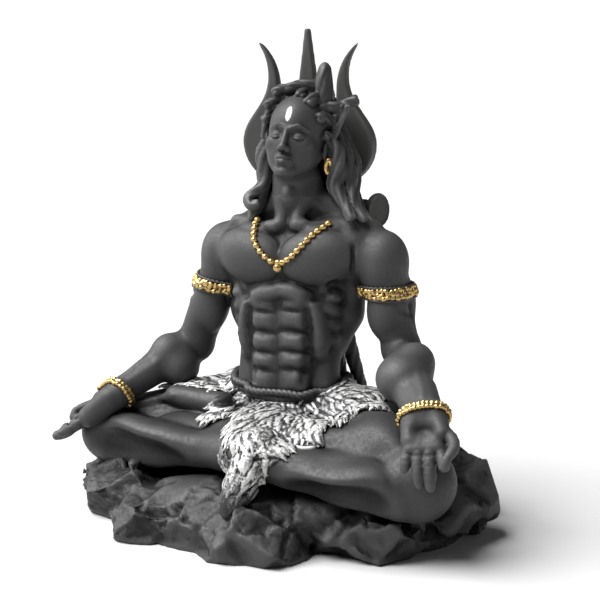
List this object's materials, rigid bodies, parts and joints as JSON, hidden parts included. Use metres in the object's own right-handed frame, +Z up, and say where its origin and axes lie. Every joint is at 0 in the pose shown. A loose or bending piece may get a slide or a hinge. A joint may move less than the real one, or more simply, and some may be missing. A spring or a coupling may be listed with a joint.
{
  "type": "seated shiva figurine",
  "caption": "Cast figurine of a seated, meditating Shiva on a rounded rock, hands open on the knees, with a flat three-pronged spear and a small hourglass drum standing behind the back.",
  "frame": {"origin": "on the flat underside of the rock, below the figure's spine", "axes": "+Z up; the figure looks along -Y and its left hand is on the +X side; -Z is the normal of the underside"},
  "size_m": [0.129, 0.0936, 0.1375],
  "materials": {
    "figure": "matt black cast resin, with gold paint on the jewellery and silver-white dry-brushed paint on the pelt",
    "trident": "matt black cast resin"
  },
  "bodies": {
    "root": {"figure_on_rock": "figure", "trident_with_drum": "trident"}
  },
  "joints": []
}
